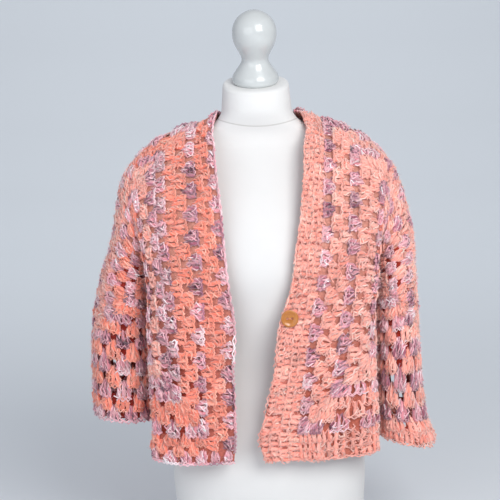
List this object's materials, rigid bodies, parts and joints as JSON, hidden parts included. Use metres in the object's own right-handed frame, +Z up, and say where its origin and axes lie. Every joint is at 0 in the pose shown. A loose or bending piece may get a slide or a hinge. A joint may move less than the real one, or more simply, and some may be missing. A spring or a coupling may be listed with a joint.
{
  "type": "crochet cardigan on a dress form",
  "caption": "Open-front hexagon crochet cardigan with wide hanging sleeves and a button, worn on a limbless white dress form with a turned knob.",
  "frame": {"origin": "centre of the bottom of the whole object's box", "axes": "+Z up, the open front of the cardigan faces -Y, +X towards the wearer's left"},
  "size_m": [0.5784, 0.2696, 0.8831],
  "materials": {
    "coral_yarn": "fuzzy crocheted wool in coral with lavender rounds",
    "form_jersey": "matte white jersey stretched over a rigid form",
    "white_gloss_paint": "turned wood in white gloss paint",
    "amber_resin": "polished translucent amber resin"
  },
  "bodies": {
    "root": {"button": "amber_resin", "form_knob": "white_gloss_paint", "form_torso": "form_jersey", "left_back": "coral_yarn", "left_back_hem": "coral_yarn", "left_band": "coral_yarn", "left_cuff": "coral_yarn", "left_front": "coral_yarn", "left_front_hem": "coral_yarn", "left_sleeve": "coral_yarn", "right_back": "coral_yarn", "right_back_hem": "coral_yarn", "right_band": "coral_yarn", "right_cuff": "coral_yarn", "right_front": "coral_yarn", "right_front_hem": "coral_yarn", "right_sleeve": "coral_yarn"}
  },
  "joints": []
}
